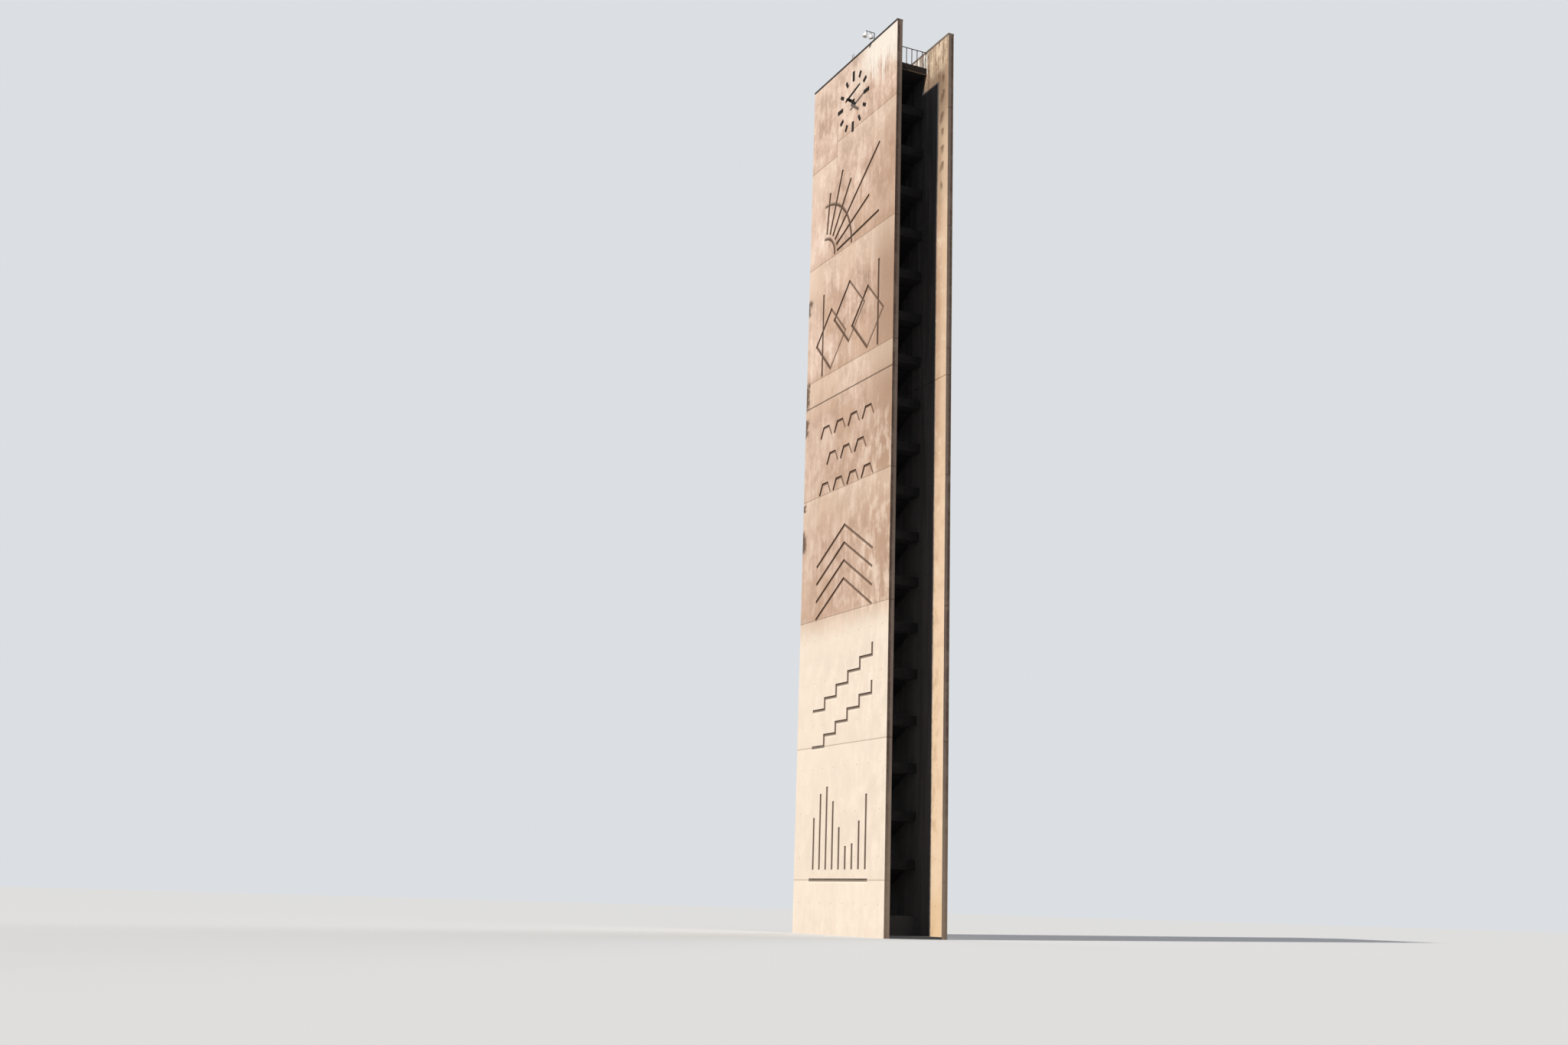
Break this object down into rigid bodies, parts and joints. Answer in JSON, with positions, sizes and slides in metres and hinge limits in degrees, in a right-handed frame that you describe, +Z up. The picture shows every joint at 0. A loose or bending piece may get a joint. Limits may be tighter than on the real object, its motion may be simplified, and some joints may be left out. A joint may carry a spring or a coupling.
{
  "type": "clock tower, scale model at half size",
  "caption": "Tall clock tower of parallel cast concrete slabs with an open stair between them, a railed deck and a bar dial with turning hands on each outer face.",
  "frame": {"origin": "middle of the underside of the floor between the slabs, on the ground", "axes": "+Z up, -Y out of the front dial, +X towards the near end of the stair"},
  "size_m": [5.1, 2.3491, 25.3],
  "materials": {
    "cast_concrete": "board-marked cast concrete, weathered",
    "rusty_sheet": "rusted sheet steel",
    "rusty_steel": "rusted round bar",
    "dark_metal": "dull black paint",
    "white_enamel": "white enamel"
  },
  "bodies": {
    "tower": {"ground_floor": "cast_concrete", "front_wall_lower": "cast_concrete", "front_wall_upper": "cast_concrete", "rear_wall_lower": "cast_concrete", "rear_wall_upper": "cast_concrete", "stair_flights_01": "cast_concrete", "stair_flights_02": "cast_concrete", "stair_flights_03": "cast_concrete", "stair_flights_04": "cast_concrete", "stair_flights_05": "cast_concrete", "stair_flights_06": "cast_concrete", "stair_flights_07": "cast_concrete", "stair_flights_08": "cast_concrete", "stair_flights_09": "cast_concrete", "stair_flights_10": "cast_concrete", "stair_entry_flight": "cast_concrete", "near_landings_lower": "cast_concrete", "near_landings_middle": "cast_concrete", "near_landings_upper": "cast_concrete", "far_landings_lower": "cast_concrete", "far_landings_middle": "cast_concrete", "far_landings_upper": "cast_concrete", "entry_low_wall": "cast_concrete", "top_deck": "cast_concrete", "far_deck_beam": "cast_concrete", "front_wall_coping": "rusty_sheet", "rear_wall_coping": "rusty_sheet", "near_deck_railing": "rusty_steel", "far_deck_railing": "rusty_steel", "coping_rods": "rusty_steel", "front_hour_marks": "dark_metal", "rear_hour_marks": "dark_metal", "front_dial_spindle": "dark_metal", "rear_dial_spindle": "dark_metal", "lamp_post": "dark_metal", "lamp_heads": "white_enamel"},
    "front_hour_hand": {"front_hour_hand": "dark_metal"},
    "front_minute_hand": {"front_minute_hand": "dark_metal"},
    "rear_hour_hand": {"rear_hour_hand": "dark_metal"},
    "rear_minute_hand": {"rear_minute_hand": "dark_metal"}
  },
  "joints": [
    {"name": "front_minute_hand_turn", "type": "hinge", "parent": "tower", "child": "front_minute_hand", "pos_m": [0, -0.915, 23.6], "axis": [0, 1, 0], "continuous": true},
    {"name": "front_hour_hand_turn", "type": "hinge", "parent": "tower", "child": "front_hour_hand", "pos_m": [0, -0.915, 23.6], "axis": [0, 1, 0], "continuous": true},
    {"name": "rear_minute_hand_turn", "type": "hinge", "parent": "tower", "child": "rear_minute_hand", "pos_m": [0, 0.915, 23.6], "axis": [0, -1, 0], "continuous": true},
    {"name": "rear_hour_hand_turn", "type": "hinge", "parent": "tower", "child": "rear_hour_hand", "pos_m": [0, 0.915, 23.6], "axis": [0, -1, 0], "continuous": true}
  ],
  "couplings": [
    {"joint": "front_hour_hand_turn", "follows": "front_minute_hand_turn", "ratio": 0.083333},
    {"joint": "rear_hour_hand_turn", "follows": "rear_minute_hand_turn", "ratio": 0.083333}
  ]
}
